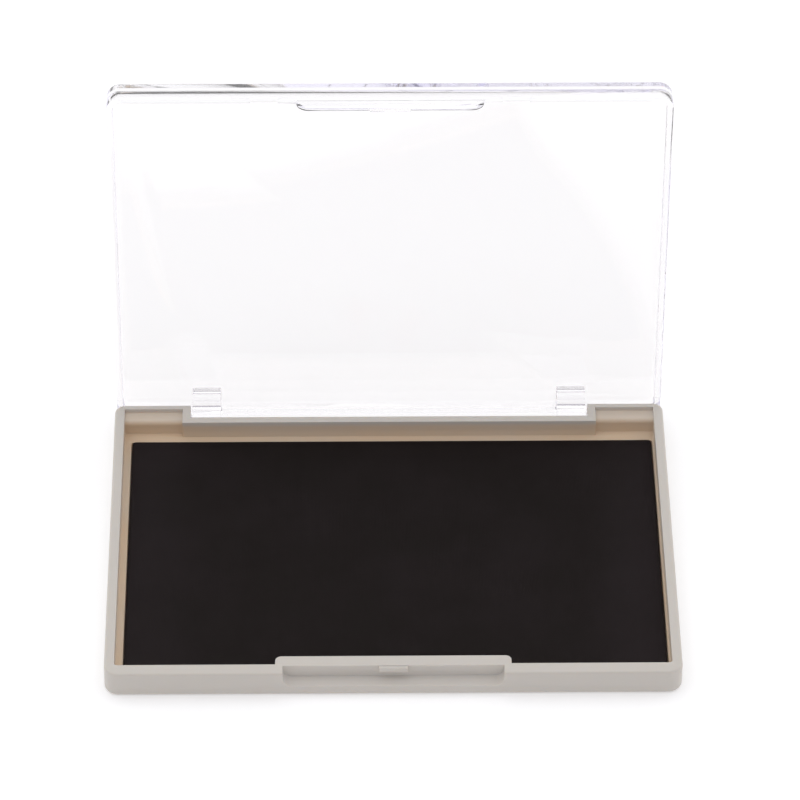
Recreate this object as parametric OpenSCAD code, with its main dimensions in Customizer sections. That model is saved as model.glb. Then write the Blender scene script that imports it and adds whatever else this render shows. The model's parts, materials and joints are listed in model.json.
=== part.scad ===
// Ink pad: a shallow moulded tray that holds a cloth-covered felt pad, under a clear hinged lid.
// Frame: +X to the right, +Y to the hinge, +Z up. Origin at the centre of the tray's underside.

/* [Tray] */
// Width of the tray, side to side
base_w = 120; // [100:0.5:160]
// Depth of the tray, front to back, over the hinge blocks
base_d = 86; // [70:0.5:120]
// Height of the tray, underside to rim
base_h = 6; // [5:0.1:9]
// Plan radius of the two front corners
front_r = 3; // [2.5:0.1:5]
// Plan radius of the two rear corners
rear_r = 2.2; // [1:0.1:2.5]
// Radius along the outer edge of the rim
rim_edge_r = 0.45; // [0.1:0.05:0.8]
// Radius along the outer edge of the underside
low_edge_r = 0.9; // [0.3:0.05:1.2]
// Width of the rim along the two sides
side_wall = 2.1; // [1.6:0.1:3]
// Width of the rim along the front
front_wall = 3; // [2:0.1:4]
// Thickness of the rear wall between the hinge blocks
mid_wall = 1.8; // [1.2:0.1:2.4]
// Plan radius of the well's corners
well_r = 0.6; // [0.3:0.1:1.5]

/* [Floor and pad seat] */
// Thickness of the floor under the pad
floor_t = 1; // [0.8:0.1:1.6]
// Depth of the pad's seat below the ledge round it
seat_depth = 0.9; // [0.5:0.05:1.2]
// Width of the ledge between a side wall and the seat
side_ledge = 0.9; // [0.5:0.1:2]
// Width of the ledge between the middle rear wall and the seat
rear_ledge = 2.1; // [1:0.1:4]

/* [Hinge blocks] */
// Width of each rear corner block
block_w = 16.5; // [12:0.5:22]
// Depth of each block, rear face to the face over the well
block_d = 4.8; // [4.4:0.1:6]
// Distance from the blocks' rear faces forward to the middle wall
block_step = 4.2; // [4:0.1:5]
// Thickness of the rim behind the shelf on each block
shelf_rim = 1.4; // [1:0.1:2]
// Width of the rim between the shelf and the hinge gap
shelf_side = 1.7; // [1.2:0.1:2.5]
// Drop from the rim to the shelf on top of each block
shelf_drop = 0.9; // [0.4:0.1:1.2]
// Radius along the front edge of the shelf
shelf_r = 1; // [0.4:0.1:1.8]

/* [Hinge] */
// Distance of the hinge axis ahead of the blocks' rear faces
hinge_back = 2.1; // [2:0.05:2.2]
// Distance of the hinge axis below the tray's rim
hinge_drop = 2.2; // [2.1:0.05:2.4]
// Radius of the stub pins on the lid's lugs
pin_r = 0.9; // [0.7:0.05:1]
// Length of a stub pin past its lug
pin_len = 2; // [1.5:0.1:3]
// Radial clearance of a pin in its bore
pin_gap = 0.06; // [0.03:0.01:0.1]
// Room between a pin's end and the bottom of its bore
pin_end_gap = 0.4; // [0.2:0.1:0.8]
// Width of a lug
lug_w = 6.2; // [4:0.1:8]
// Side clearance between a lug and its block
lug_side_gap = 0.4; // [0.2:0.1:0.8]
// Clearance between a lug's nose and the middle wall
lug_nose_gap = 0.3; // [0.2:0.05:0.5]
// Reach of a lug's heel below the axis, which stops the open lid
lug_heel = 1.95; // [1.8:0.05:2]
// Depth of the solid web that carries a lug inside the lid
web_d = 5.1; // [4.6:0.1:8]

/* [Thumb recess and latch] */
// Width of the thumb recess in the front
thumb_w = 46; // [30:1:70]
// Depth of the recess, front to back
thumb_d = 2.5; // [2:0.1:4]
// Drop from the rim to the back of the recess floor
thumb_drop = 2.9; // [2.4:0.1:3.6]
// Further drop of the recess floor towards its front lip
thumb_slope = 0.5; // [0:0.1:0.8]
// Radius in the lower corners of the recess
thumb_r = 2; // [0.5:0.1:2.2]
// Wall thickness behind and beside the recess
thumb_wall = 2.9; // [1.5:0.1:4]
// Thickness of the wall's ends beside the recess
thumb_end_wall = 1.5; // [1:0.1:3]
// Plan radius of the wall's two inner corners
thumb_wall_r = 1.3; // [0.4:0.1:1.4]
// Width of the latch nub
nub_w = 6; // [4:0.5:10]
// Height of the latch nub
nub_h = 1.3; // [0.8:0.1:1.6]
// Distance of the nub's top below the rim
nub_drop = 0.15; // [0.1:0.05:0.4]
// How far the nub stands out into the recess
nub_out = 0.75; // [0.4:0.05:1]
// Clearance between the lid's catch and the nub
latch_gap = 0.12; // [0.08:0.01:0.3]

/* [Lid] */
// Height of the lid, rim to top
lid_h = 6; // [5.5:0.1:9]
// Thickness of the lid's plate
lid_plate = 1.2; // [0.9:0.1:1.8]
// Thickness of the lid's walls
lid_wall = 1.2; // [0.9:0.1:1.6]
// How far the lid's sides stand in from the tray's sides
lid_inset = 0.35; // [0:0.05:0.6]
// Gap between the closed lid's rim and the tray's rim
lid_gap = 0.1; // [0.05:0.05:0.4]
// Radius along the outer edge of the lid's plate
lid_edge_r = 0.7; // [0.2:0.1:1]
// Angle at which the lid stands open
open_angle = 92; // [0:1:94]
// Height cut from the lid's rim where it swings over the blocks
relief_h = 1.2; // [1.1:0.1:2]
// Length of that cut, front to back
relief_d = 5.5; // [5:0.1:8]
// Radius at the front end of that cut
relief_r = 1; // [0.4:0.1:1.1]
// Width of the latch tab
tab_w = 39.5; // [20:0.5:44]
// Room between the closed tab and the recess floor
tab_floor_gap = 0.2; // [0.1:0.05:0.6]
// Radius of the tab's two lower corners
tab_r = 2.6; // [0.5:0.1:2.6]
// Width of the catch on the tab
catch_w = 8.6; // [4:0.1:16]
// Height of the catch
catch_h = 0.9; // [0.5:0.1:1]
// Width of each vent notch in the front rim of the lid
notch_w = 5.7; // [2:0.1:8]
// Depth of each vent notch
notch_h = 0.35; // [0.1:0.05:0.8]
// Distance of each vent notch's middle from the lid's middle
notch_x = 26.5; // [24:0.5:36]

/* [Pad] */
// Gap between the pad and its seat on the left
pad_gap_left = 0.75; // [0.05:0.05:1]
// Gap between the pad and its seat on the right
pad_gap_right = 0.1; // [0.05:0.05:1]
// Gap between the pad and its seat at the rear
pad_gap_rear = 0.1; // [0.05:0.05:1]
// Gap between the pad and the wall behind the thumb recess
pad_gap_front = 0.35; // [0.1:0.05:1]
// Thickness of the adhesive sheet under the pad
tape_t = 0.15; // [0.1:0.01:0.2]
// How far the adhesive sheet stands in from the pad's edge
tape_inset = 2; // [1:0.5:6]
// Thickness of the stiff backing board
board_t = 0.3; // [0.2:0.01:0.5]
// Thickness of the ink-soaked felt
felt_t = 0.6; // [0.4:0.05:1]
// Thickness of the woven cover
cloth_t = 0.25; // [0.15:0.05:0.3]
// Plan radius of the pad's corners
pad_r = 0.8; // [0.5:0.1:2]

/* [Hidden] */
$fn = 48;
cut = 1; // how far a cutter runs past the face it opens

// tray levels and faces
ledge_z = floor_t + seat_depth;
front_y = -base_d / 2;
rear_y = base_d / 2;
mid_rear_y = rear_y - block_step;
mid_front_y = mid_rear_y - mid_wall;
well_front_y = front_y + front_wall;
well_w = base_w - 2 * side_wall;
block_x = base_w / 2 - block_w;
shelf_x = block_x + shelf_side;
block_face_y = rear_y - block_d;
shelf_z = base_h - shelf_drop;
thumb_y = front_y + thumb_d;
bump_y = thumb_y + thumb_wall;
bump_w = thumb_w + 2 * thumb_end_wall;

// pad seat, pad and its layers
seat_w = well_w - 2 * side_ledge;
seat_front_y = bump_y;
seat_rear_y = mid_front_y - rear_ledge;
pad_left = -seat_w / 2 + pad_gap_left;
pad_right = seat_w / 2 - pad_gap_right;
pad_front = seat_front_y + pad_gap_front;
pad_rear = seat_rear_y - pad_gap_rear;
tape_z = floor_t;
board_z = tape_z + tape_t;
felt_z = board_z + board_t;
cloth_z = felt_z + felt_t;

// hinge, in the closed lid's place
hinge_y = rear_y - hinge_back;
hinge_z = base_h - hinge_drop;
lug_x = block_x - lug_side_gap;
nose_r = hinge_y - mid_rear_y - lug_nose_gap;
bore_len = pin_len - lug_side_gap + pin_end_gap;

// lid, in its closed place
lid_w = base_w - 2 * lid_inset;
lid_z = base_h + lid_gap;
lid_top = lid_z + lid_h;
lid_inner_w = lid_w - 2 * lid_wall;
relief_x = block_x - lug_side_gap / 2;
tab_len = thumb_drop + lid_gap - tab_floor_gap;
tab_back_y = front_y + lid_wall;
catch_y = thumb_y - nub_out - latch_gap;

// A rectangle with one corner at the origin and both corners on its far side rounded.
module soft_bar(len, h, top_r, low_r) {
    difference() {
        square([len, h]);
        if (top_r > 0)
            translate([len - top_r, h - top_r])
                difference() {
                    square(top_r + cut);
                    circle(top_r);
                }
        if (low_r > 0)
            translate([len - low_r, low_r])
                difference() {
                    translate([0, -low_r - cut]) square(low_r + cut);
                    circle(low_r);
                }
    }
}

// The soft-edged section across the full depth of a slab.
module soft_section(d, h, top_r, low_r) {
    soft_bar(d / 2, h, top_r, low_r);
    mirror([1, 0]) soft_bar(d / 2, h, top_r, low_r);
}

// A slab with rounded plan corners and rounded outer edges, centred, on z = 0.
// Its parts meet face to face: a middle bar, two side bars and the corner pieces.
module soft_slab(w, d, h, r_front, r_rear, top_r, low_r) {
    rotate([90, 0, 90]) translate([0, 0, -w / 2 + r_front])
        linear_extrude(w - 2 * r_front) soft_section(d, h, top_r, low_r);
    for (side = [0, 1])
        mirror([side, 0, 0]) translate([w / 2 - r_front, 0, 0]) {
            translate([0, d / 2 - r_rear, 0]) rotate([90, 0, 0])
                linear_extrude(d - r_front - r_rear) soft_bar(r_front, h, top_r, low_r);
            translate([0, -d / 2 + r_front, 0]) rotate([0, 0, -90])
                rotate_extrude(angle = 90) soft_bar(r_front, h, top_r, low_r);
            translate([0, d / 2 - r_rear, 0]) rotate([90, 0, 90])
                linear_extrude(r_front - r_rear) soft_bar(r_rear, h, top_r, low_r);
            translate([r_front - r_rear, d / 2 - r_rear, 0])
                rotate_extrude(angle = 90) soft_bar(r_rear, h, top_r, low_r);
        }
}

// A flat rectangle between two corners, with its own corners rounded.
module round_rect(x0, y0, x1, y1, r) {
    translate([x0 + r, y0]) square([x1 - x0 - 2 * r, y1 - y0]);
    translate([x0, y0 + r]) square([x1 - x0, y1 - y0 - 2 * r]);
    for (x = [x0 + r, x1 - r])
        for (y = [y0 + r, y1 - r])
            translate([x, y]) circle(r);
}

// Lays a drawing made in (y, z) across the width, from x0 to x1.
module across(x0, x1) {
    translate([x0, 0, 0]) rotate([90, 0, 90]) linear_extrude(x1 - x0) children();
}

// The hollow that the pad lies in, from the ledge up, without the wall behind the thumb recess.
module well() {
    translate([0, 0, ledge_z]) linear_extrude(base_h)
        round_rect(-well_w / 2, well_front_y, well_w / 2, mid_front_y, well_r);
    // it runs back beside the middle wall to the faces of the two blocks
    for (side = [0, 1])
        mirror([side, 0, 0]) {
            translate([shelf_x, mid_front_y - block_d, ledge_z])
                cube([well_w / 2 - shelf_x, block_face_y - mid_front_y + block_d, base_h]);
            // the shelf on the block, with its front edge rounded
            across(shelf_x, well_w / 2)
                translate([0, shelf_z]) square([rear_y - shelf_rim, base_h]);
            across(shelf_x, well_w / 2)
                translate([block_face_y, shelf_z - shelf_r])
                    difference() {
                        translate([-cut, 0]) square([shelf_r + cut, shelf_r + cut]);
                        translate([shelf_r, 0]) circle(shelf_r);
                    }
        }
}

// The wall that stands into the well behind and beside the thumb recess.
module thumb_bump() {
    linear_extrude(base_h)
        round_rect(-bump_w / 2, front_y + front_wall - thumb_wall_r - well_r, bump_w / 2, bump_y, thumb_wall_r);
}

// The recess itself: an upright back wall, round lower corners, and a floor that falls to the front lip.
module thumb_cut() {
    fall = atan(thumb_slope / thumb_d);
    intersection() {
        translate([-thumb_w, front_y - cut, 0]) cube([2 * thumb_w, thumb_d + cut, 2 * base_h]);
        translate([0, thumb_y, base_h - thumb_drop]) rotate([90 + fall, 0, 0])
            translate([0, 0, -cut]) linear_extrude(thumb_d + 3 * cut) {
                translate([-thumb_w / 2, thumb_r]) square([thumb_w, base_h]);
                translate([-thumb_w / 2 + thumb_r, 0]) square([thumb_w - 2 * thumb_r, base_h]);
                for (side = [-1, 1])
                    translate([side * (thumb_w / 2 - thumb_r), thumb_r]) circle(thumb_r);
            }
    }
}

// The latch nub on the back wall of the recess, chamfered on its top so that the catch rides over it.
module latch_nub() {
    nub_top = base_h - nub_drop;
    across(-nub_w / 2, nub_w / 2)
        polygon([
            [thumb_y + cut, nub_top],
            [thumb_y - nub_out * 0.6, nub_top],
            [thumb_y - nub_out, nub_top - nub_h * 0.35],
            [thumb_y - nub_out, nub_top - nub_h * 0.8],
            [thumb_y - nub_out * 0.7, nub_top - nub_h],
            [thumb_y + cut, nub_top - nub_h]
        ]);
}

module base_tray() {
    color([0.80, 0.78, 0.75]) {
        difference() {
            soft_slab(base_w, base_d, base_h, front_r, rear_r, rim_edge_r, low_edge_r);
            // the gap between the blocks, where the lugs turn
            translate([-block_x, mid_rear_y, -cut])
                cube([2 * block_x, block_step + cut, base_h + 2 * cut]);
            difference() {
                well();
                thumb_bump();
            }
            // the pad's seat
            translate([0, 0, floor_t]) linear_extrude(base_h)
                round_rect(-seat_w / 2, seat_front_y, seat_w / 2, seat_rear_y, well_r);
            thumb_cut();
            // blind bores for the lid's stub pins
            for (side = [0, 1])
                mirror([side, 0, 0]) translate([block_x - cut, hinge_y, hinge_z])
                    rotate([0, 90, 0]) cylinder(r = pin_r + pin_gap, h = bore_len + cut);
        }
        latch_nub();
    }
}

// A lug's outline in (y, z): a round nose ahead of the axis and a square heel behind it.
module lug_outline() {
    translate([hinge_y, hinge_z]) {
        circle(nose_r);
        translate([-nose_r, 0]) square([2 * nose_r, hinge_drop + lid_gap + cut]);
        translate([0, -lug_heel]) square([nose_r, lug_heel]);
    }
}

module closed_lid() {
    difference() {
        translate([0, 0, lid_z]) soft_slab(lid_w, base_d, lid_h, front_r, rear_r, lid_edge_r, 0);
        translate([0, 0, lid_z - cut]) linear_extrude(lid_h - lid_plate + cut)
            round_rect(-lid_inner_w / 2, front_y + lid_wall, lid_inner_w / 2, rear_y - lid_wall, front_r - lid_wall);
        // the rim is cut back over the blocks, so that it clears them as the lid swings
        for (side = [0, 1])
            mirror([side, 0, 0]) across(relief_x, lid_w / 2 + cut)
                translate([rear_y - relief_d, lid_z]) {
                    translate([relief_r, -cut]) square([relief_d, relief_h + cut]);
                    translate([0, -cut]) square([relief_d, relief_h - relief_r + cut]);
                    translate([relief_r, relief_h - relief_r]) circle(relief_r);
                }
        // vent notches in the front rim
        for (side = [-1, 1])
            translate([side * notch_x - notch_w / 2, front_y - cut, lid_z - cut])
                cube([notch_w, lid_wall + 2 * cut, notch_h + cut]);
    }
    for (side = [0, 1])
        mirror([side, 0, 0]) {
            // the solid web, up to the plate and back to the rear wall
            translate([lug_x - lug_w, rear_y - web_d, lid_z])
                cube([lug_w, web_d - lid_wall / 2, lid_h - lid_plate / 2]);
            across(lug_x - lug_w, lug_x) lug_outline();
            translate([lug_x - cut, hinge_y, hinge_z]) rotate([0, 90, 0]) cylinder(r = pin_r, h = pin_len + cut);
        }
    // the latch tab hangs below the front wall
    translate([0, tab_back_y, lid_z]) rotate([90, 0, 0]) linear_extrude(lid_wall) {
        translate([-tab_w / 2, -tab_len + tab_r]) square([tab_w, tab_len - tab_r + cut]);
        translate([-tab_w / 2 + tab_r, -tab_len]) square([tab_w - 2 * tab_r, tab_len]);
        for (side = [-1, 1])
            translate([side * (tab_w / 2 - tab_r), -tab_len + tab_r]) circle(tab_r);
    }
    // the catch on the tab's inner face, which snaps under the nub
    across(-catch_w / 2, catch_w / 2)
        translate([0, lid_z - tab_len])
            polygon([
                [tab_back_y - lid_wall / 2, 0],
                [catch_y - 0.15, 0],
                [catch_y, 0.25],
                [catch_y, catch_h - 0.1],
                [tab_back_y, catch_h + 0.2],
                [tab_back_y - lid_wall / 2, catch_h + 0.2]
            ]);
}

module clear_lid() {
    color([0.93, 0.93, 0.97, 0.4])
        translate([0, hinge_y, hinge_z]) rotate([-open_angle, 0, 0]) translate([0, -hinge_y, -hinge_z])
            closed_lid();
}

// A sheet of the pad's own outline, let in by a distance all round.
module pad_sheet(inset, z, t) {
    translate([0, 0, z]) linear_extrude(t)
        round_rect(pad_left + inset, pad_front + inset, pad_right - inset, pad_rear - inset, max(pad_r - inset, 0.2));
}

// The woven cover: over the top of the felt and down round its edge and the board's.
module pad_cloth() {
    color([0.14, 0.12, 0.12])
        difference() {
            pad_sheet(0, board_z, board_t + felt_t + cloth_t);
            translate([0, 0, -cut]) pad_sheet(cloth_t, board_z, board_t + felt_t + cut);
        }
}

module pad_felt() {
    color([0.10, 0.09, 0.09]) pad_sheet(cloth_t, felt_z, felt_t);
}

module pad_board() {
    color([0.75, 0.72, 0.66]) pad_sheet(cloth_t, board_z, board_t);
}

module pad_tape() {
    color([0.90, 0.88, 0.80]) pad_sheet(tape_inset, tape_z, tape_t);
}

base_tray();
clear_lid();
pad_cloth();
pad_felt();
pad_board();
pad_tape();
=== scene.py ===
import json
import math

import bpy
from mathutils import Euler, Matrix, Vector


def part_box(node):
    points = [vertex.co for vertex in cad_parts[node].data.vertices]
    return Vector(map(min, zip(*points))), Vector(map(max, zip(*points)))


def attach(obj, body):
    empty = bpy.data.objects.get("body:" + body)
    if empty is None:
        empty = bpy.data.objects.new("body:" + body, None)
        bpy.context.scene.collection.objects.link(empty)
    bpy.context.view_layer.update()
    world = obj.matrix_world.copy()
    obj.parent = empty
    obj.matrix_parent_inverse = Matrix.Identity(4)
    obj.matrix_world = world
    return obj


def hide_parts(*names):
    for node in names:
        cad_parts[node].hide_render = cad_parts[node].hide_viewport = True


# An ink pad lying open: moulded tray, clear hinged lid, cloth-covered felt pad.
# Pieces are modelled in millimetres and brought to metres when they are done.
mm = 0.001
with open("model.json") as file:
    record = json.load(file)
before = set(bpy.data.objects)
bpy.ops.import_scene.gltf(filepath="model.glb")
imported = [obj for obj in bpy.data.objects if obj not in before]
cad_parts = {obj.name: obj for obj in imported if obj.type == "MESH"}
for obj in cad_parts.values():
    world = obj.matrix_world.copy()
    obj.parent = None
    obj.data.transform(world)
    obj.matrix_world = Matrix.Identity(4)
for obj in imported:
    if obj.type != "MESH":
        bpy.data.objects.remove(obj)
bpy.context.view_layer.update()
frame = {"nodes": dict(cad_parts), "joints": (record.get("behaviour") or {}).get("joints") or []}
hinge = frame["joints"][0]
print("frame loaded:", ", ".join(sorted(frame["nodes"])))


def boxInMm(node):
    low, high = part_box(node)
    return low / mm, high / mm


def objectMode():
    if bpy.context.mode != "OBJECT":
        bpy.ops.object.mode_set(mode="OBJECT")


def activate(piece):
    objectMode()
    bpy.ops.object.select_all(action="DESELECT")
    piece.select_set(True)
    bpy.context.view_layer.objects.active = piece


def addBlock(name, low, high):
    objectMode()
    bpy.ops.object.select_all(action="DESELECT")
    low, high = Vector(low), Vector(high)
    bpy.ops.mesh.primitive_cube_add(size=1, location=(low + high) / 2, scale=high - low)
    piece = bpy.context.active_object
    piece.name = name
    bpy.ops.object.transform_apply(location=True, rotation=True, scale=True)
    return piece


def addRod(name, radius, start, end, segments=32):
    # a round rod along X
    objectMode()
    bpy.ops.object.select_all(action="DESELECT")
    start, end = Vector(start), Vector(end)
    bpy.ops.mesh.primitive_cylinder_add(vertices=segments, radius=radius, depth=(end - start).length,
                                        location=(start + end) / 2, rotation=(0, math.pi / 2, 0))
    piece = bpy.context.active_object
    piece.name = name
    bpy.ops.object.transform_apply(location=True, rotation=True, scale=True)
    return piece


def pickEdges(piece, test):
    # test gets the two ends of an edge
    activate(piece)
    bpy.ops.object.mode_set(mode="EDIT")
    bpy.ops.mesh.select_mode(type="EDGE")
    bpy.ops.mesh.select_all(action="DESELECT")
    objectMode()
    points = [vertex.co for vertex in piece.data.vertices]
    for edge in piece.data.edges:
        edge.select = bool(test(points[edge.vertices[0]], points[edge.vertices[1]]))
    bpy.ops.object.mode_set(mode="EDIT")


def roundEdges(piece, test, radius, segments=6):
    pickEdges(piece, test)
    bpy.ops.mesh.bevel(offset=radius, offset_type="OFFSET", segments=segments, profile=0.5, affect="EDGES",
                       clamp_overlap=False)
    objectMode()


def moveCorners(piece, test, shift):
    # test gets one corner
    activate(piece)
    bpy.ops.object.mode_set(mode="EDIT")
    bpy.ops.mesh.select_mode(type="VERT")
    bpy.ops.mesh.select_all(action="DESELECT")
    objectMode()
    for vertex in piece.data.vertices:
        vertex.select = bool(test(vertex.co))
    bpy.ops.object.mode_set(mode="EDIT")
    bpy.ops.transform.translate(value=shift)
    objectMode()


def near(a, b, slack=0.01):
    return abs(a - b) < slack


def upright(a, b):
    return near(a.x, b.x) and near(a.y, b.y)


def carve(piece, tool, operation="DIFFERENCE"):
    activate(piece)
    cut = piece.modifiers.new("carve", "BOOLEAN")
    cut.operation = operation
    cut.solver = "EXACT"
    cut.object = tool
    bpy.ops.object.modifier_apply(modifier=cut.name)
    bpy.data.objects.remove(tool, do_unlink=True)


def join(piece, part):
    carve(piece, part, "UNION")


def cleanMesh(piece):
    activate(piece)
    bpy.ops.object.mode_set(mode="EDIT")
    bpy.ops.mesh.select_all(action="SELECT")
    bpy.ops.mesh.remove_doubles(threshold=0.002)
    bpy.ops.mesh.dissolve_limited(angle_limit=math.radians(0.4))
    bpy.ops.mesh.select_all(action="SELECT")
    bpy.ops.mesh.normals_make_consistent(inside=False)
    objectMode()


def softenEdges(piece, width, segments, angle):
    activate(piece)
    soft = piece.modifiers.new("softEdges", "BEVEL")
    soft.width = width
    soft.segments = segments
    soft.limit_method = "ANGLE"
    soft.angle_limit = math.radians(angle)
    soft.miter_outer = "MITER_ARC"
    soft.use_clamp_overlap = True
    bpy.ops.object.modifier_apply(modifier=soft.name)


def toMetres(piece, smoothAngle):
    activate(piece)
    piece.scale = (mm, mm, mm)
    bpy.ops.object.transform_apply(location=True, rotation=True, scale=True)
    bpy.ops.object.shade_smooth_by_angle(angle=math.radians(smoothAngle))


def newMaterial(name):
    material = bpy.data.materials.new(name)
    material.use_nodes = True
    return material, material.node_tree, material.node_tree.nodes["Principled BSDF"]


def addNode(tree, kind, values=None, **settings):
    node = tree.nodes.new(kind)
    for key, value in settings.items():
        setattr(node, key, value)
    for key, value in (values or {}).items():
        if isinstance(value, bpy.types.NodeSocket):
            tree.links.new(value, node.inputs[key])
        else:
            node.inputs[key].default_value = value
    return node


def maths(tree, operation, first, second=0.0, clamp=False):
    return addNode(tree, "ShaderNodeMath", {0: first, 1: second}, operation=operation,
                   use_clamp=clamp).outputs[0]


def multiplyAdd(tree, value, factor, offset):
    return addNode(tree, "ShaderNodeMath", {0: value, 1: factor, 2: offset},
                   operation="MULTIPLY_ADD").outputs[0]


def between(tree, value, low, high):
    # 0 below low, 1 above high, smooth in the middle
    node = addNode(tree, "ShaderNodeMapRange", {"Value": value, "From Min": low, "From Max": high},
                   interpolation_type="SMOOTHSTEP")
    return node.outputs["Result"]


def blendColors(tree, amount, first, second, mode="MIX"):
    node = addNode(tree, "ShaderNodeMix", data_type="RGBA", blend_type=mode)
    for socket, value in ((node.inputs[0], amount), (node.inputs[6], first), (node.inputs[7], second)):
        if isinstance(value, bpy.types.NodeSocket):
            tree.links.new(value, socket)
        else:
            socket.default_value = value if isinstance(value, (int, float)) else (*value, 1)
    return node.outputs[2]


def newGroup(name, inputs, outputs):
    group = bpy.data.node_groups.new(name, "ShaderNodeTree")
    for label, kind, value in inputs:
        socket = group.interface.new_socket(name=label, in_out="INPUT", socket_type=kind)
        if value is not None:
            socket.default_value = value
    for label, kind in outputs:
        group.interface.new_socket(name=label, in_out="OUTPUT", socket_type=kind)
    return group, group.nodes.new("NodeGroupInput").outputs, group.nodes.new("NodeGroupOutput").inputs


def placeGroup(tree, group, values):
    node = addNode(tree, "ShaderNodeGroup", node_tree=group)
    for key, value in values.items():
        if isinstance(value, bpy.types.NodeSocket):
            tree.links.new(value, node.inputs[key])
        else:
            node.inputs[key].default_value = value
    return node.outputs


def objectPlace(tree):
    return addNode(tree, "ShaderNodeTexCoord").outputs["Object"]


def makeGrainGroup():
    # fine moulded grain over a slow unevenness
    group, given, made = newGroup(
        "mouldedGrain",
        [("Vector", "NodeSocketVector", None), ("Grain Scale", "NodeSocketFloat", 4000.0),
         ("Cloud Scale", "NodeSocketFloat", 60.0), ("Grain Share", "NodeSocketFloat", 0.5)],
        [("Height", "NodeSocketFloat"), ("Cloud", "NodeSocketFloat"), ("Grain", "NodeSocketFloat")])
    grain = addNode(group, "ShaderNodeTexNoise", {"Vector": given["Vector"], "Scale": given["Grain Scale"],
                                                  "Detail": 2.0, "Roughness": 0.6})
    cloud = addNode(group, "ShaderNodeTexNoise", {"Vector": given["Vector"], "Scale": given["Cloud Scale"],
                                                  "Detail": 3.0, "Roughness": 0.5})
    fine = maths(group, "MULTIPLY", grain.outputs["Fac"], given["Grain Share"])
    coarse = maths(group, "MULTIPLY", cloud.outputs["Fac"],
                   maths(group, "SUBTRACT", 1.0, given["Grain Share"]))
    group.links.new(maths(group, "ADD", fine, coarse), made["Height"])
    group.links.new(cloud.outputs["Fac"], made["Cloud"])
    group.links.new(grain.outputs["Fac"], made["Grain"])
    return group


def makeSpeckGroup():
    # scattered specks: only the cells with a high random value hold one
    group, given, made = newGroup(
        "scatteredSpecks",
        [("Vector", "NodeSocketVector", None), ("Cell Scale", "NodeSocketFloat", 200.0),
         ("Size", "NodeSocketFloat", 0.12), ("Share", "NodeSocketFloat", 0.2)],
        [("Mask", "NodeSocketFloat")])
    cells = addNode(group, "ShaderNodeTexVoronoi", {"Vector": given["Vector"], "Scale": given["Cell Scale"],
                                                    "Randomness": 1.0})
    pick = addNode(group, "ShaderNodeSeparateColor", {"Color": cells.outputs["Color"]}).outputs[0]
    chosen = maths(group, "LESS_THAN", pick, given["Share"])
    dot = maths(group, "SUBTRACT", 1.0, maths(group, "DIVIDE", cells.outputs["Distance"], given["Size"]),
                True)
    group.links.new(maths(group, "MULTIPLY", dot, chosen, True), made["Mask"])
    return group


def makeWeaveGroup():
    # plain weave: warp and weft threads that cross over and under each other
    group, given, made = newGroup(
        "plainWeave",
        [("Vector", "NodeSocketVector", None), ("Pitch", "NodeSocketFloat", 0.0003)],
        [("Height", "NodeSocketFloat"), ("Gap", "NodeSocketFloat")])
    parts = addNode(group, "ShaderNodeSeparateXYZ", {"Vector": given["Vector"]}).outputs
    turn = maths(group, "DIVIDE", math.pi, given["Pitch"])
    along = maths(group, "MULTIPLY", parts[0], turn)
    across = maths(group, "MULTIPLY", parts[1], turn)
    warp = maths(group, "ABSOLUTE", maths(group, "SINE", along))
    weft = maths(group, "ABSOLUTE", maths(group, "SINE", across))
    over = maths(group, "MULTIPLY", maths(group, "COSINE", along), maths(group, "COSINE", across))
    lift = multiplyAdd(group, over, 0.5, 0.5)
    height = maths(group, "ADD", maths(group, "MULTIPLY", warp, lift),
                   maths(group, "MULTIPLY", weft, maths(group, "SUBTRACT", 1.0, lift)))
    group.links.new(height, made["Height"])
    group.links.new(maths(group, "SUBTRACT", 1.0, maths(group, "MAXIMUM", warp, weft), True), made["Gap"])
    return group


mouldedGrain = makeGrainGroup()
scatteredSpecks = makeSpeckGroup()
plainWeave = makeWeaveGroup()


cameraView = {
    "place": (-12.07, -818.6, 739.99),  # mm
    "down": 40.38,  # degrees below level
    "yaw": 0.963,
    "roll": 0.36,
    "lens": 232.1,
}


def makeCamera():
    data = bpy.data.cameras.new("camera")
    data.lens = cameraView["lens"]
    data.sensor_width = 36
    data.clip_start = 0.01
    data.clip_end = 20
    camera = bpy.data.objects.new("camera", data)
    bpy.context.scene.collection.objects.link(camera)
    turn = Euler((math.radians(90 - cameraView["down"]), 0, math.radians(-cameraView["yaw"]))).to_matrix()
    turn = turn @ Matrix.Rotation(math.radians(cameraView["roll"]), 3, "Z")
    camera.matrix_world = Matrix.Translation(Vector(cameraView["place"]) * mm) @ turn.to_4x4()
    bpy.context.scene.camera = camera


studio = {
    "tentColor": (1.04, 1.04, 1.05),
    "frontColor": (0.5, 0.49, 0.53),  # the open side of the tent, behind the camera
    "keyPower": 1.35,  # watts
    "keyPlace": (-0.15, 0.05, 1.0),
    "keySize": 1.1,
    "floorColor": (0.9, 0.9, 0.9),
    "floorGlow": 0.24,
    "floorSize": 12.0,
    "glassBounces": 40,  # light is reflected many times inside the lid's plate
}


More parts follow.
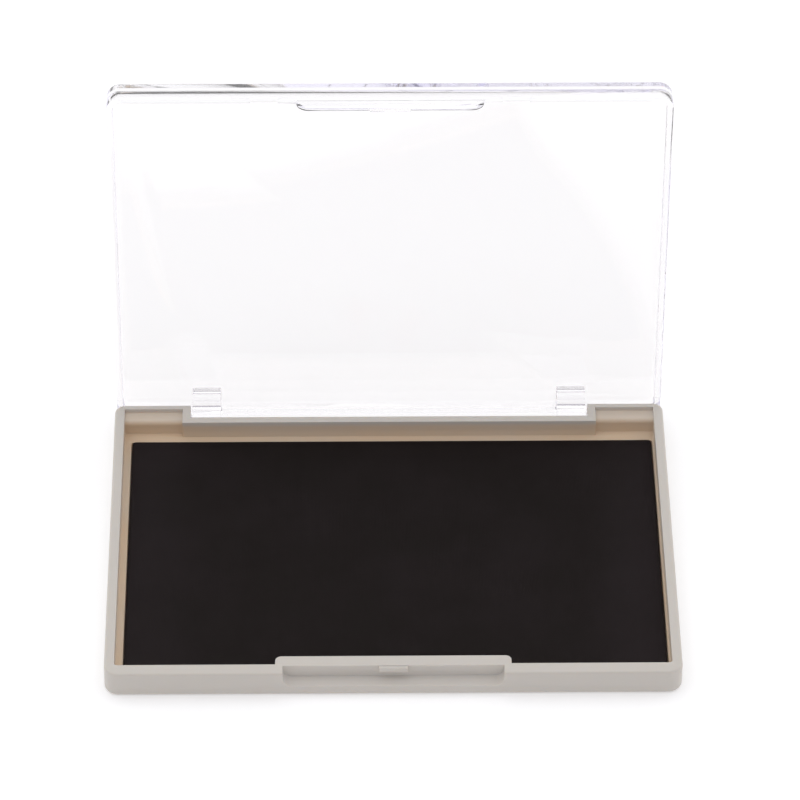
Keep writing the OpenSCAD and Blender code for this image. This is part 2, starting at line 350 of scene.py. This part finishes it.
def makeStudio():
    scene = bpy.context.scene
    scene.view_settings.view_transform = "Standard"
    world = bpy.data.worlds.new("whiteTent")
    world.use_nodes = True
    tree = world.node_tree
    direction = addNode(tree, "ShaderNodeTexCoord").outputs["Generated"]
    toRear = addNode(tree, "ShaderNodeSeparateXYZ", {"Vector": direction}).outputs[1]
    share = between(tree, toRear, -0.95, 0.35)
    tint = blendColors(tree, share, studio["frontColor"], studio["tentColor"])
    tree.links.new(tint, tree.nodes["Background"].inputs["Color"])
    scene.world = world
    scene.cycles.max_bounces = studio["glassBounces"]
    scene.cycles.transmission_bounces = studio["glassBounces"]
    scene.cycles.glossy_bounces = studio["glassBounces"]

    data = bpy.data.lights.new("softbox", "AREA")
    data.size = studio["keySize"]
    data.energy = studio["keyPower"]
    light = bpy.data.objects.new("softbox", data)
    scene.collection.objects.link(light)
    light.location = studio["keyPlace"]
    light.rotation_euler = (-light.location).to_track_quat("-Z", "Y").to_euler()

    objectMode()
    bpy.ops.object.select_all(action="DESELECT")
    bpy.ops.mesh.primitive_plane_add(size=studio["floorSize"], location=(0, 0, 0))
    floor = bpy.context.active_object
    floor.name = "floor"
    material, tree, shader = newMaterial("paleFloor")
    cloud = addNode(tree, "ShaderNodeTexNoise", {"Vector": objectPlace(tree), "Scale": 3.0})
    tint = blendColors(tree, cloud.outputs["Fac"], studio["floorColor"],
                       [c * 0.98 for c in studio["floorColor"]])
    tree.links.new(tint, shader.inputs["Base Color"])
    shader.inputs["Roughness"].default_value = 0.9
    shader.inputs["Specular IOR Level"].default_value = 0.1
    shader.inputs["Emission Color"].default_value = (1, 1, 1, 1)
    shader.inputs["Emission Strength"].default_value = studio["floorGlow"]
    floor.data.materials.append(material)


makeCamera()
makeStudio()
print("camera and studio ready")


trayLow, trayHigh = boxInMm("base_tray")
# the soft cover is a little fuller than the plain solid it replaces
coverReach = {"right": 0.5, "rear": 0.3}
traySizes = {
    "frontRadius": 3.0, "rearRadius": 2.2,  # corners seen from above
    "rimEdge": 0.45, "lowEdge": 0.9,  # outer edges of the rim and the underside
    "sideWall": 2.1, "frontWall": 3.0, "middleWall": 1.8,
    "wellRadius": 0.6,
    "floor": 1.0, "ledge": 1.9,  # heights above the underside
    "seatGap": 0.1,
    "blockWidth": 16.5, "blockDepth": 4.8, "blockStep": 4.2,
    "shelfRim": 1.4, "shelfSide": 1.7, "shelfDrop": 0.9, "shelfRadius": 1.0,
    "thumbWidth": 46.0, "thumbDepth": 2.5, "thumbDrop": 2.9, "thumbSlope": 0.5, "thumbRadius": 2.0,
    "thumbWall": 2.9, "thumbEndWall": 1.5, "thumbWallRadius": 1.3,
    "nubWidth": 6.0, "nubHeight": 1.3, "nubDrop": 0.15, "nubOut": 0.75,
    "boreRadius": 0.96, "boreLength": 2.0,
    "softEdge": 0.24,
}


def addWellTool(size, rim):
    # the hollow from the ledge up, stretched back over the shelves, less the wall behind the thumb;
    # each cutting block reaches a few millimetres past what it cuts
    halfWell = trayHigh.x - size["sideWall"]
    wellFront = trayLow.y + size["frontWall"]
    wellRear = trayHigh.y - size["blockStep"] - size["middleWall"]
    shelfX = trayHigh.x - size["blockWidth"] + size["shelfSide"]
    blockFace = trayHigh.y - size["blockDepth"]
    well = addBlock("well", (-halfWell, wellFront, size["ledge"]), (halfWell, wellRear, rim + 3))
    roundEdges(well, lambda a, b: upright(a, b) and a.y < 0, size["wellRadius"], 5)
    for side in (-1, 1):
        shelfEnds = sorted((side * shelfX, side * halfWell))
        join(well, addBlock("notch", (shelfEnds[0], wellRear - 9, size["ledge"]),
                            (shelfEnds[1], blockFace, rim + 3)))
        join(well, addBlock("shelf", (shelfEnds[0], wellRear - 9, rim - size["shelfDrop"]),
                            (shelfEnds[1], trayHigh.y - size["shelfRim"], rim + 3)))
    bumpX = size["thumbWidth"] / 2 + size["thumbEndWall"]
    bumpRear = trayLow.y + size["thumbDepth"] + size["thumbWall"]
    bump = addBlock("bump", (-bumpX, trayLow.y - 1, 0), (bumpX, bumpRear, rim + 4))
    roundEdges(bump, lambda a, b: upright(a, b) and a.y > trayLow.y, size["thumbWallRadius"], 7)
    carve(well, bump)
    return well


def addThumbTool(size, rim):
    back = trayLow.y + size["thumbDepth"]
    halfWidth = size["thumbWidth"] / 2
    floorZ = rim - size["thumbDrop"]
    slope = size["thumbSlope"] / size["thumbDepth"]
    tool = addBlock("thumbRecess", (-halfWidth, trayLow.y - 1, floorZ), (halfWidth, back, rim + 3))
    moveCorners(tool, lambda corner: corner.z < rim and corner.y < back - 0.1,
                (0, 0, -slope * (size["thumbDepth"] + 1)))
    roundEdges(tool, lambda a, b: near(a.x, b.x) and not near(a.y, b.y) and a.z < rim and b.z < rim,
               size["thumbRadius"], 8)
    return tool


def addNub(size, rim):
    back = trayLow.y + size["thumbDepth"]
    top = rim - size["nubDrop"]
    half = size["nubWidth"] / 2
    nub = addBlock("nub", (-half, back - size["nubOut"], top - size["nubHeight"]), (half, back + 0.8, top))
    front = back - size["nubOut"]
    roundEdges(nub, lambda a, b: near(a.y, front) and near(b.y, front) and near(a.z, b.z), 0.3, 2)
    roundEdges(nub, lambda a, b: upright(a, b) and a.y < back - 0.3 and b.y < back - 0.3, 0.25, 3)
    return nub


def makeTray():
    size = traySizes
    rim = trayHigh.z
    tray = addBlock("tray_shell", trayLow, trayHigh)
    roundEdges(tray, lambda a, b: upright(a, b) and a.y < 0, size["frontRadius"], 14)
    roundEdges(tray, lambda a, b: upright(a, b) and a.y > 0 and abs(a.x) > 59, size["rearRadius"], 12)
    roundEdges(tray, lambda a, b: near(a.z, rim) and near(b.z, rim), size["rimEdge"], 5)
    roundEdges(tray, lambda a, b: near(a.z, 0) and near(b.z, 0), size["lowEdge"], 6)
    print("tray: outer form")

    blockX = trayHigh.x - size["blockWidth"]
    middleRear = trayHigh.y - size["blockStep"]
    carve(tray, addBlock("hingeGap", (-blockX, middleRear, -2), (blockX, trayHigh.y + 2, rim + 2)))
    carve(tray, addWellTool(size, rim))
    padLow, padHigh = boxInMm("pad_cloth")
    seatFront = trayLow.y + size["thumbDepth"] + size["thumbWall"]
    seatRight = padHigh.x + coverReach["right"] + size["seatGap"]
    seatRear = padHigh.y + coverReach["rear"] + size["seatGap"]
    seat = addBlock("seat", (padLow.x - size["seatGap"], seatFront, size["floor"]),
                    (seatRight, seatRear, rim + 2))
    roundEdges(seat, upright, size["wellRadius"], 5)
    carve(tray, seat)
    carve(tray, addThumbTool(size, rim))
    print("tray: well, seat and thumb recess")

    for side in (-1, 1):
        ends = [(side * x, hinge["pos_m"][1] / mm, hinge["pos_m"][2] / mm)
                for x in (blockX - 1, blockX + size["boreLength"])]
        carve(tray, addRod("bore", size["boreRadius"], *ends))
    join(tray, addNub(size, rim))
    cleanMesh(tray)
    blockFace = trayHigh.y - size["blockDepth"]
    shelfZ = rim - size["shelfDrop"]
    roundEdges(tray, lambda a, b: all(near(p.y, blockFace) and near(p.z, shelfZ) for p in (a, b)),
               size["shelfRadius"], 6)
    cleanMesh(tray)
    softenEdges(tray, size["softEdge"], 3, 38)
    toMetres(tray, 40)
    print("tray: done,", len(tray.data.polygons), "faces")
    return tray


trayFinish = {
    "color": (0.60, 0.565, 0.515),
    "hollowShadeColor": (0.68, 0.52, 0.36),  # painted warm shade in the hollow, standing in for light bounced and scattered round the well
    "roughness": 0.42,
    "grainScale": 3500.0, "cloudScale": 45.0, "grainShare": 0.6,
    "glowRadius": (1.0, 0.7, 0.45), "glowDepth": 0.0012, "glowWeight": 0.25,
}


def makeTrayMaterial():
    material, tree, shader = newMaterial("warmGreyPlastic")
    place = objectPlace(tree)
    grain = placeGroup(tree, mouldedGrain, {"Vector": place, "Grain Scale": trayFinish["grainScale"],
                                            "Cloud Scale": trayFinish["cloudScale"],
                                            "Grain Share": trayFinish["grainShare"]})
    parts = addNode(tree, "ShaderNodeSeparateXYZ", {"Vector": place}).outputs
    halfWell = (trayHigh.x - traySizes["sideWall"]) * mm
    # painted warm shade: inside the well, over the two shelves, and below the rim
    fromMiddle = maths(tree, "ABSOLUTE", parts[0])
    wallFront = (trayLow.y + traySizes["frontWall"]) * mm
    middleFace = (trayHigh.y - traySizes["blockStep"] - traySizes["middleWall"]) * mm
    shelfRear = (trayHigh.y - traySizes["shelfRim"]) * mm
    shelfX = (trayHigh.x - traySizes["blockWidth"] + traySizes["shelfSide"]) * mm
    onShelf = between(tree, fromMiddle, shelfX - 0.0003, shelfX + 0.0003)
    rearLimit = maths(tree, "ADD", middleFace, maths(tree, "MULTIPLY", onShelf, shelfRear - middleFace))
    inX = between(tree, fromMiddle, halfWell + 0.0004, halfWell - 0.0002)
    inFront = between(tree, parts[1], wallFront - 0.0004, wallFront + 0.0003)
    inRear = between(tree, maths(tree, "SUBTRACT", parts[1], rearLimit), 0.0005, -0.0001)
    low = between(tree, parts[2], trayHigh.z * mm - 0.0002, trayHigh.z * mm - 0.0016)
    paintedHollowShade = maths(tree, "MULTIPLY", maths(tree, "MULTIPLY", inX, inFront),
                  maths(tree, "MULTIPLY", inRear, low))
    patch = between(tree, grain["Cloud"], 0.2, 0.8)
    patch = maths(tree, "ADD", maths(tree, "MULTIPLY", patch, 0.3), 0.72)
    paintedHollowShade = maths(tree, "MULTIPLY", paintedHollowShade, patch, True)
    color = blendColors(tree, grain["Cloud"], trayFinish["color"], [c * 0.965 for c in trayFinish["color"]])
    # painted shade: the hollow below the rim is tinted warm, in blotches
    color = blendColors(tree, paintedHollowShade, color, trayFinish["hollowShadeColor"])
    tree.links.new(color, shader.inputs["Base Color"])
    tree.links.new(multiplyAdd(tree, grain["Cloud"], 0.16, trayFinish["roughness"] - 0.08),
                   shader.inputs["Roughness"])
    shader.inputs["Specular IOR Level"].default_value = 0.4
    shader.inputs["Subsurface Weight"].default_value = trayFinish["glowWeight"]
    shader.inputs["Subsurface Radius"].default_value = trayFinish["glowRadius"]
    shader.inputs["Subsurface Scale"].default_value = trayFinish["glowDepth"]
    bump = addNode(tree, "ShaderNodeBump", {"Height": grain["Height"], "Strength": 0.12, "Distance": 0.00003})
    tree.links.new(bump.outputs["Normal"], shader.inputs["Normal"])
    return material


tray = makeTray()
tray.data.materials.append(makeTrayMaterial())
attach(tray, "base")
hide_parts("base_tray")


lidSizes = {
    "height": 6.0, "gap": 0.1,  # gap between the two rims when it is closed
    "frontRadius": 3.0, "rearRadius": 2.2, "topEdge": 0.7,
    "plate": 1.2, "wall": 1.2,
    "reliefHeight": 1.2, "reliefDepth": 5.5, "reliefRadius": 1.0, "reliefInset": 0.2,
    "lugWidth": 6.2, "lugGap": 0.4, "noseGap": 0.3, "heel": 1.95, "webDepth": 5.1,
    "pinRadius": 0.9, "pinLength": 2.0,
    "tabWidth": 39.5, "tabLength": 2.8, "tabRadius": 2.6,
    "catchWidth": 8.6, "catchHeight": 0.9, "catchGap": 0.12,
    "notchWidth": 5.7, "notchHeight": 0.35, "notchX": 26.5,
    "softEdge": 0.14,
}


def makeLid():
    # modelled closed, then swung open about the hinge
    size = lidSizes
    lidHigh = boxInMm("clear_lid")[1]
    front, rear = trayLow.y, trayHigh.y
    half = lidHigh.x
    low = trayHigh.z + size["gap"]
    top = low + size["height"]
    blockX = trayHigh.x - traySizes["blockWidth"]
    lid = addBlock("lid_shell", (-half, front, low), (half, rear, top))
    roundEdges(lid, lambda a, b: upright(a, b) and a.y < 0, size["frontRadius"], 14)
    roundEdges(lid, lambda a, b: upright(a, b) and a.y > 0 and abs(a.x) > half - 1, size["rearRadius"], 12)
    roundEdges(lid, lambda a, b: near(a.z, top) and near(b.z, top), size["topEdge"], 6)
    hollow = addBlock("hollow", (-half + size["wall"], front + size["wall"], low - 2),
                      (half - size["wall"], rear - size["wall"], top - size["plate"]))
    roundEdges(hollow, upright, size["frontRadius"] - size["wall"], 10)
    carve(lid, hollow)
    print("lid: shell")

    for side in (-1, 1):
        ends = sorted((side * (blockX - size["reliefInset"]), side * (half + 1)))
        relief = addBlock("relief", (ends[0], rear - size["reliefDepth"], low - 1),
                          (ends[1], rear + 1, low + size["reliefHeight"]))
        reliefFront = rear - size["reliefDepth"]
        roundEdges(relief, lambda a, b: near(a.y, reliefFront) and near(b.y, reliefFront) and near(a.z, b.z)
                   and a.z > low, size["reliefRadius"], 6)
        carve(lid, relief)
        middle = side * size["notchX"]
        carve(lid, addBlock("ventNotch", (middle - size["notchWidth"] / 2, front - 1, low - 1),
                            (middle + size["notchWidth"] / 2, front + size["wall"] + 1,
                             low + size["notchHeight"])))
    print("lid: reliefs and notches")

    hingeY, hingeZ = hinge["pos_m"][1] / mm, hinge["pos_m"][2] / mm
    noseRadius = hingeY - (rear - traySizes["blockStep"]) - size["noseGap"]
    for side in (-1, 1):
        inner, outer = blockX - size["lugGap"] - size["lugWidth"], blockX - size["lugGap"]
        ends = sorted((side * inner, side * outer))
        lug = addBlock("lug", (ends[0], hingeY - noseRadius, hingeZ - size["heel"]),
                       (ends[1], hingeY + noseRadius, low + 2))
        lugFront = hingeY - noseRadius
        # the nose ends below the axis, the heel goes deeper behind it
        moveCorners(lug, lambda corner: corner.z < low and near(corner.y, lugFront),
                    (0, 0, size["heel"] - noseRadius))
        roundEdges(lug, lambda a, b: near(a.y, lugFront) and near(b.y, lugFront) and near(a.z, b.z)
                   and a.z < hingeZ, noseRadius, 9)
        join(lug, addBlock("web", (ends[0], rear - size["webDepth"], low),
                           (ends[1], rear - size["wall"] / 2, top - size["plate"] / 2)))
        pinEnds = [(side * x, hingeY, hingeZ) for x in (outer - 0.5, outer + size["pinLength"])]
        join(lug, addRod("pin", size["pinRadius"], *pinEnds))
        join(lid, lug)
    print("lid: lugs and pins")

    tab = addBlock("tab", (-size["tabWidth"] / 2, front, low - size["tabLength"]),
                   (size["tabWidth"] / 2, front + size["wall"], low + 0.6))
    roundEdges(tab, lambda a, b: near(a.x, b.x) and near(a.z, b.z) and a.z < low, size["tabRadius"], 10)
    catchBack = front + traySizes["thumbDepth"] - traySizes["nubOut"] - size["catchGap"]
    foot = low - size["tabLength"]
    catch = addBlock("catch", (-size["catchWidth"] / 2, front + size["wall"] / 2, foot),
                     (size["catchWidth"] / 2, catchBack, foot + size["catchHeight"]))
    roundEdges(catch, lambda a, b: near(a.y, catchBack) and near(b.y, catchBack) and near(a.z, b.z), 0.18, 3)
    join(tab, catch)
    join(lid, tab)
    cleanMesh(lid)
    softenEdges(lid, size["softEdge"], 2, 38)
    print("lid: tab and catch")

    openAngle = math.radians(max(hinge["range_deg"]))
    activate(lid)
    bpy.ops.object.mode_set(mode="EDIT")
    bpy.ops.mesh.select_all(action="SELECT")
    bpy.ops.transform.rotate(value=openAngle, orient_axis="X", center_override=(0, hingeY, hingeZ))
    objectMode()
    toMetres(lid, 40)
    print("lid: done,", len(lid.data.polygons), "faces")
    return lid


lidFinish = {
    "color": (0.985, 0.975, 0.975),
    "smudgeColor": (0.97, 0.90, 0.90),
    "depthColor": (0.80, 0.78, 0.93),
    "density": 8.0,
    "passColor": (0.94, 0.94, 0.95),
    "roughness": 0.01,
    "ior": 1.55,
    "speckScale": 110.0, "speckSize": 0.05, "speckShare": 0.12,
}


def makeLidMaterial():
    material, tree, shader = newMaterial("clearPlastic")
    place = objectPlace(tree)
    specks = placeGroup(tree, scatteredSpecks, {"Vector": place, "Cell Scale": lidFinish["speckScale"],
                                                "Size": lidFinish["speckSize"],
                                                "Share": lidFinish["speckShare"]})
    clouds = placeGroup(tree, mouldedGrain, {"Vector": place, "Grain Scale": 300.0, "Cloud Scale": 28.0})
    smudge = between(tree, clouds["Cloud"], 0.62, 0.8)
    mark = maths(tree, "MAXIMUM", maths(tree, "MULTIPLY", smudge, 0.25),
                 maths(tree, "MULTIPLY", specks["Mask"], 0.8))
    tree.links.new(blendColors(tree, mark, lidFinish["color"], lidFinish["smudgeColor"]),
                   shader.inputs["Base Color"])
    tree.links.new(multiplyAdd(tree, mark, 0.05, lidFinish["roughness"]), shader.inputs["Roughness"])
    shader.inputs["Transmission Weight"].default_value = 1.0
    shader.inputs["IOR"].default_value = lidFinish["ior"]
    # lamp light passes straight through the thin plate
    passing = addNode(tree, "ShaderNodeBsdfTransparent", {"Color": (*lidFinish["passColor"], 1)})
    fromLamp = addNode(tree, "ShaderNodeLightPath").outputs["Is Shadow Ray"]
    surface = addNode(tree, "ShaderNodeMixShader", {0: fromLamp, 1: shader.outputs["BSDF"],
                                                    2: passing.outputs["BSDF"]})
    tree.links.new(surface.outputs[0], tree.nodes["Material Output"].inputs["Surface"])
    depth = addNode(tree, "ShaderNodeVolumeAbsorption")
    depth.inputs["Color"].default_value = (*lidFinish["depthColor"], 1)
    depth.inputs["Density"].default_value = lidFinish["density"]
    tree.links.new(depth.outputs["Volume"], tree.nodes["Material Output"].inputs["Volume"])
    return material


lid = makeLid()
lid.data.materials.append(makeLidMaterial())
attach(lid, "lid")
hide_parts("clear_lid")


padFinish = {
    "inkColor": (0.0092, 0.0062, 0.0056),
    # colour of the dry patches, and of the painted sheen at the two ends
    "dryAndSheenColor": (0.019, 0.0140, 0.0150),
    "sheenEnds": (0.038, 0.057),  # painted sheen: the cloth is lighter between these distances from the middle
    "gapColor": (0.004, 0.0035, 0.0035),  # between the threads
    "roughness": 0.5,
    "threadPitch": 0.00030,
}


def makeInkedCloth():
    material, tree, shader = newMaterial("inkedCloth")
    place = objectPlace(tree)
    weave = placeGroup(tree, plainWeave, {"Vector": place, "Pitch": padFinish["threadPitch"]})
    clouds = placeGroup(tree, mouldedGrain, {"Vector": place, "Grain Scale": 900.0, "Cloud Scale": 55.0,
                                             "Grain Share": 0.35})
    fromMiddle = maths(tree, "ABSOLUTE", addNode(tree, "ShaderNodeSeparateXYZ", {"Vector": place}).outputs[0])
    # random dry patches, plus a painted sheen that lightens the two ends
    dryAndSheen = maths(tree, "ADD", maths(tree, "MULTIPLY", between(tree, clouds["Cloud"], 0.35, 0.75), 0.4),
                maths(tree, "MULTIPLY", between(tree, fromMiddle, *padFinish["sheenEnds"]), 0.6), True)
    color = blendColors(tree, dryAndSheen, padFinish["inkColor"], padFinish["dryAndSheenColor"])
    color = blendColors(tree, maths(tree, "MULTIPLY", weave["Gap"], 0.6), color, padFinish["gapColor"])
    tree.links.new(color, shader.inputs["Base Color"])
    tree.links.new(multiplyAdd(tree, clouds["Cloud"], 0.25, padFinish["roughness"]),
                   shader.inputs["Roughness"])
    shader.inputs["Specular IOR Level"].default_value = 0.06
    shader.inputs["Sheen Weight"].default_value = 0.02
    bump = addNode(tree, "ShaderNodeBump", {"Height": weave["Height"], "Strength": 0.35, "Distance": 0.00006})
    soft = addNode(tree, "ShaderNodeBump", {"Height": clouds["Cloud"], "Strength": 0.4, "Distance": 0.0002,
                                            "Normal": bump.outputs["Normal"]})
    tree.links.new(soft.outputs["Normal"], shader.inputs["Normal"])
    return material


def makePlainSheetMaterial(name, color, second, scale, roughness):
    # fibres and mottling for the layers under the cloth
    material, tree, shader = newMaterial(name)
    place = objectPlace(tree)
    grain = placeGroup(tree, mouldedGrain, {"Vector": place, "Grain Scale": scale, "Cloud Scale": scale / 12,
                                            "Grain Share": 0.7})
    specks = placeGroup(tree, scatteredSpecks, {"Vector": place, "Cell Scale": scale / 3, "Size": 0.3,
                                                "Share": 0.3})
    tint = blendColors(tree, grain["Height"], color, second)
    tint = blendColors(tree, maths(tree, "MULTIPLY", specks["Mask"], 0.4), tint, [c * 0.6 for c in color])
    tree.links.new(tint, shader.inputs["Base Color"])
    shader.inputs["Roughness"].default_value = roughness
    bump = addNode(tree, "ShaderNodeBump", {"Height": grain["Height"], "Strength": 0.3, "Distance": 0.00005})
    tree.links.new(bump.outputs["Normal"], shader.inputs["Normal"])
    return material


padSizes = {
    "cell": 1.2,  # size of one cloth cell
    "feltSag": 0.14,  # how far the felt's top falls off towards its two ends
    "feltSagWidth": 7.0,
    "feltFuzz": 0.05,
    "drop": 0.25,  # the cloth starts this far over the felt and settles on it
    "clothGap": 0.12,  # from the felt to the middle of the cloth
    "clothThickness": 0.14,
    "hem": 1.8,  # width turned in under the board
    "shrink": 0.006,
    "steps": 24,
    "farthest": 0.4,  # no point moves further than this as the cloth settles
}


def addSheet(name, low, high, z, cell):
    objectMode()
    bpy.ops.object.select_all(action="DESELECT")
    width, depth = high.x - low.x, high.y - low.y
    bpy.ops.mesh.primitive_grid_add(x_subdivisions=round(width / cell),
                                    y_subdivisions=round(depth / cell), size=1,
                                    location=((low.x + high.x) / 2, (low.y + high.y) / 2, z))
    piece = bpy.context.active_object
    piece.name = name
    piece.scale = (width, depth, 1)
    bpy.ops.object.transform_apply(location=True, rotation=True, scale=True)
    return piece


def fullerBox(node):
    low, high = boxInMm(node)
    return low, high + Vector((coverReach["right"], coverReach["rear"], 0))


def makeFelt():
    low, high = fullerBox("pad_felt")
    felt = addSheet("felt_core", low, high, high.z, padSizes["cell"])
    for vertex in felt.data.vertices:
        fromEnd = min(vertex.co.x - low.x, high.x - vertex.co.x) / padSizes["feltSagWidth"]
        vertex.co.z -= padSizes["feltSag"] * max(0, 1 - fromEnd) ** 2
    activate(felt)
    body = felt.modifiers.new("body", "SOLIDIFY")
    body.thickness = high.z - low.z - padSizes["feltSag"]
    body.offset = -1
    bpy.ops.object.modifier_apply(modifier=body.name)
    softenEdges(felt, 0.18, 3, 40)
    lumps = bpy.data.textures.new("feltLumps", "CLOUDS")
    lumps.noise_scale = 5.0
    fuzz = felt.modifiers.new("fuzz", "DISPLACE")
    fuzz.texture = lumps
    fuzz.texture_coords = "LOCAL"
    fuzz.strength = padSizes["feltFuzz"]
    fuzz.mid_level = 0.9  # the felt stays inside its own box
    bpy.ops.object.modifier_apply(modifier=fuzz.name)
    print("felt: done,", len(felt.data.polygons), "faces")
    return felt


def openEdgesPicked(piece):
    activate(piece)
    bpy.ops.object.mode_set(mode="EDIT")
    bpy.ops.mesh.select_mode(type="EDGE")
    bpy.ops.mesh.select_all(action="DESELECT")
    bpy.ops.mesh.select_non_manifold(extend=False, use_wire=False, use_boundary=True,
                                     use_multi_face=False, use_non_contiguous=False, use_verts=False)


def makeCover(felt):
    low, high = fullerBox("pad_cloth")
    size = padSizes
    feltTop = boxInMm("pad_felt")[1].z
    start = feltTop + size["clothGap"] + size["drop"]
    inset = Vector((size["clothThickness"] / 2, size["clothThickness"] / 2, 0))
    cover = addSheet("cloth_cover", low + inset, high - inset, start, size["cell"])
    skirtRows = 3
    for row in range(skirtRows):
        openEdgesPicked(cover)
        down = (0, 0, -(start - low.z) / skirtRows)
        bpy.ops.mesh.extrude_region_move(TRANSFORM_OT_translate={"value": down})
        objectMode()
    # the hem, turned in under the board
    openEdgesPicked(cover)
    middle = (low + high) / 2
    bpy.ops.mesh.extrude_region_move(TRANSFORM_OT_translate={"value": (0, 0, -0.07)})
    turnedIn = (1 - 2 * size["hem"] / (high.x - low.x), 1 - 2 * size["hem"] / (high.y - low.y), 1)
    bpy.ops.transform.resize(value=turnedIn, center_override=(middle.x, middle.y, low.z))
    objectMode()
    print("cover: cut and folded")

    settleCloth(cover, felt, low.z + 0.35)
    activate(cover)
    body = cover.modifiers.new("body", "SOLIDIFY")
    body.thickness = size["clothThickness"]
    body.offset = 0
    bpy.ops.object.modifier_apply(modifier=body.name)
    fine = cover.modifiers.new("fine", "SUBSURF")
    fine.levels = fine.render_levels = 1
    bpy.ops.object.modifier_apply(modifier=fine.name)
    print("cover: done,", len(cover.data.polygons), "faces")
    return cover


def settleCloth(cover, felt, heldBelow):
    size = padSizes
    held = cover.vertex_groups.new(name="held")
    held.add([v.index for v in cover.data.vertices if v.co.z < heldBelow], 1.0, "REPLACE")
    before = [vertex.co.copy() for vertex in cover.data.vertices]
    block = felt.modifiers.new("block", "COLLISION")
    felt.collision.thickness_outer = 0.02
    activate(cover)
    cloth = cover.modifiers.new("settle", "CLOTH")
    cloth.settings.vertex_group_mass = held.name
    cloth.settings.quality = 8
    cloth.settings.mass = 0.3
    cloth.settings.tension_stiffness = 15
    cloth.settings.compression_stiffness = 15
    cloth.settings.bending_stiffness = 0.5
    cloth.settings.shrink_min = size["shrink"]
    cloth.collision_settings.distance_min = size["clothGap"]
    cloth.collision_settings.collision_quality = 3
    cloth.point_cache.frame_start = 1
    cloth.point_cache.frame_end = size["steps"]
    for moment in range(1, size["steps"] + 1):
        bpy.context.scene.frame_set(moment)
    bpy.ops.object.modifier_apply(modifier=cloth.name)
    bpy.context.scene.frame_set(1)
    felt.modifiers.remove(block)
    moved = 0
    for vertex, rest in zip(cover.data.vertices, before):
        shift = vertex.co - rest
        moved = max(moved, shift.length)
        if shift.length > size["farthest"]:
            vertex.co = rest + shift.normalized() * size["farthest"]
    print("cover: settled, farthest move", round(moved, 3), "mm, top now",
          round(max(vertex.co.z for vertex in cover.data.vertices), 3))


felt = makeFelt()
cover = makeCover(felt)
for piece in (felt, cover):
    toMetres(piece, 60)
cover.data.materials.append(makeInkedCloth())
felt.data.materials.append(makePlainSheetMaterial("inkedFelt", (0.012, 0.011, 0.011), (0.022, 0.019, 0.019),
                                                  1800.0, 0.95))
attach(felt, "base")
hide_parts("pad_felt")
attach(cover, "base")
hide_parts("pad_cloth")

for node, material in (
        ("pad_board", makePlainSheetMaterial("greyBoard", (0.50, 0.44, 0.34), (0.62, 0.56, 0.46), 900.0,
                                             0.9)),
        ("pad_tape", makePlainSheetMaterial("tissueTape", (0.78, 0.75, 0.64), (0.70, 0.66, 0.52), 500.0,
                                            0.5))):
    slots = frame["nodes"][node].data.materials
    slots.clear()
    slots.append(material)
